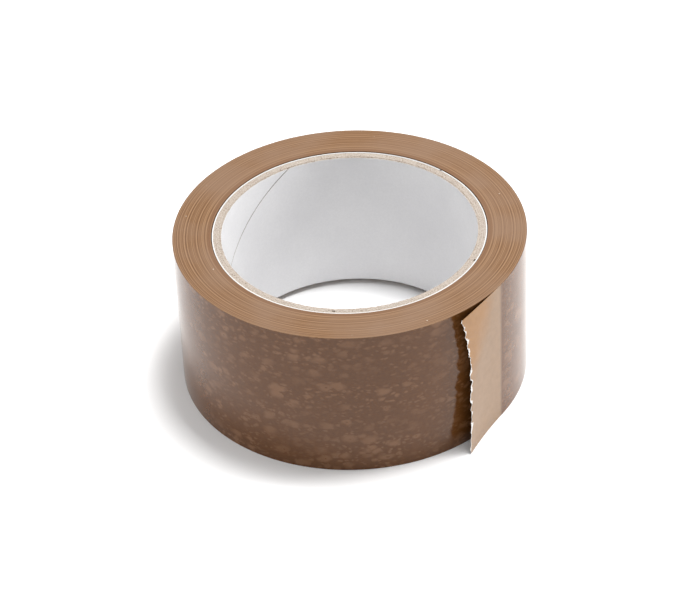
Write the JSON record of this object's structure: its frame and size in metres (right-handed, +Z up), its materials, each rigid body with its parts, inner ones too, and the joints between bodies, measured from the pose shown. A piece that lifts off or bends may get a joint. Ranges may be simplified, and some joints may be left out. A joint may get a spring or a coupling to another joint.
{
  "type": "packing tape roll",
  "caption": "Roll of brown packing tape wound on a multi-ply paper core, with its torn free end standing off the roll",
  "frame": {"origin": "on the axis of the bore, at the level of the roll's lower face", "axes": "+Z up along the axis of the bore; the strip leaves the roll 35 degrees clockwise of +X as seen from above, so the free end is at the front right when -Y is the front"},
  "size_m": [0.105, 0.1049, 0.0486],
  "materials": {
    "liner_paper": "smooth calendered grey-white paper, matt",
    "chipboard": "raw cut chipboard, fibrous and matt",
    "wrap_paper": "white paper, matt",
    "tape_edges": "slit edges of the wound turns, satin, with fine rings",
    "tape_film": "glossy brown film over a mottled layer of adhesive",
    "free_film": "glossy tan film, whitened where it is torn"
  },
  "bodies": {
    "roll": {"liner_ply": "liner_paper", "inner_board_ply": "chipboard", "middle_board_ply": "chipboard", "outer_board_ply": "chipboard", "wrap_ply": "wrap_paper", "wound_tape": "tape_edges", "outer_turn": "tape_film"},
    "free_end": {"free_end": "free_film"}
  },
  "joints": [
    {"name": "free_end_peel", "type": "hinge", "parent": "roll", "child": "free_end", "pos_m": [0.04297, -0.03009, 0.0243], "axis": [0, 0, 1], "range_deg": [0, 160]}
  ]
}
